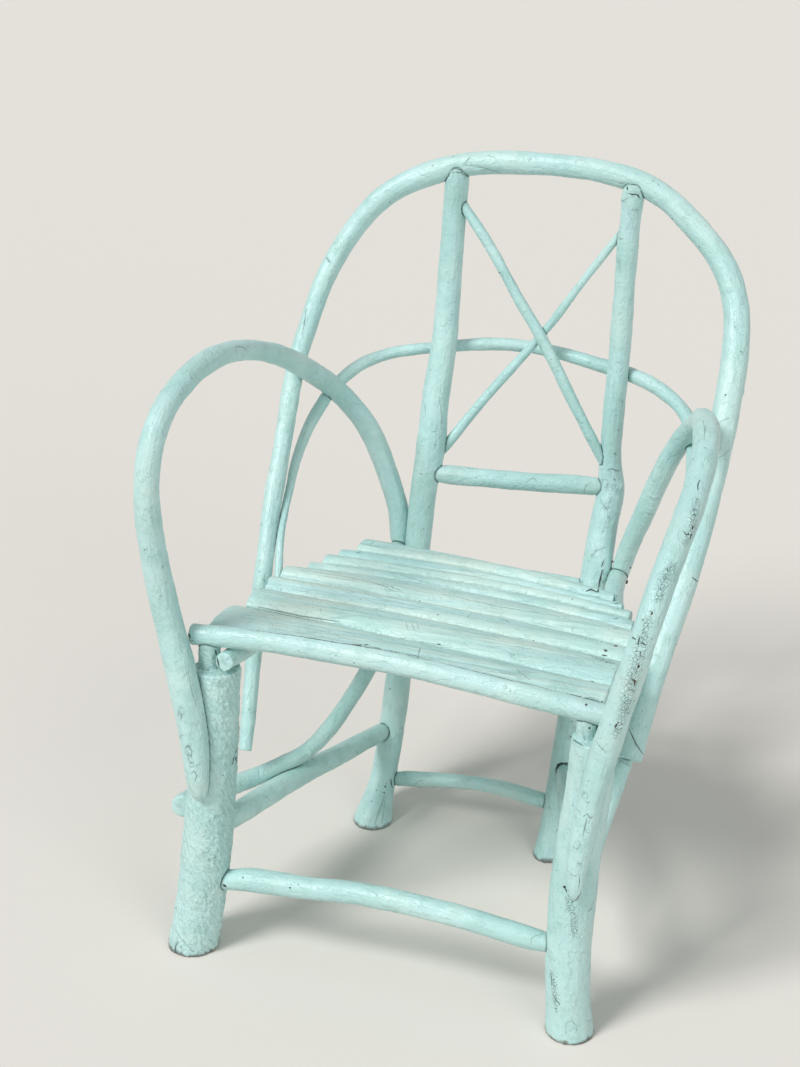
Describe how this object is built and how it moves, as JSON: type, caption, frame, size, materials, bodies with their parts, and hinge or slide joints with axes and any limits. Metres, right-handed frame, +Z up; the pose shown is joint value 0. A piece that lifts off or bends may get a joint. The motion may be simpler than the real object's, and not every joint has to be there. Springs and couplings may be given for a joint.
{
  "type": "twig chair",
  "caption": "Rustic painted twig armchair with a bent hoop back, looped pole arms, a braced back and a seat of split slats.",
  "frame": {"origin": "on the floor, under the centre of the whole chair's bounding box", "axes": "+Z up, the chair faces -Y, +X towards the left side of a person who sits in it"},
  "size_m": [0.652, 0.7018, 0.9262],
  "materials": {
    "painted_wood": "thick pale aqua gloss paint over debarked poles",
    "nail_steel": "painted over, rusty where the paint has come off"
  },
  "bodies": {
    "root": {"back_cross_rail": "painted_wood", "back_left_post": "painted_wood", "back_right_post": "painted_wood", "back_seat_rail": "painted_wood", "back_stretcher": "painted_wood", "frame_nails": "nail_steel", "front_left_leg": "painted_wood", "front_right_leg": "painted_wood", "front_seat_rod": "painted_wood", "front_stretcher": "painted_wood", "inner_back_hoop": "painted_wood", "left_arm": "painted_wood", "left_brace": "painted_wood", "left_seat_rail": "painted_wood", "left_side_stretcher": "painted_wood", "main_back_hoop": "painted_wood", "right_arm": "painted_wood", "right_brace": "painted_wood", "right_seat_rail": "painted_wood", "right_side_stretcher": "painted_wood", "seat_nails": "nail_steel", "seat_slat_1": "painted_wood", "seat_slat_2": "painted_wood", "seat_slat_3": "painted_wood", "seat_slat_4": "painted_wood", "seat_slat_5": "painted_wood", "seat_slat_6": "painted_wood", "seat_slat_7": "painted_wood", "seat_slat_8": "painted_wood", "x_brace_front": "painted_wood", "x_brace_rear": "painted_wood"}
  },
  "joints": []
}
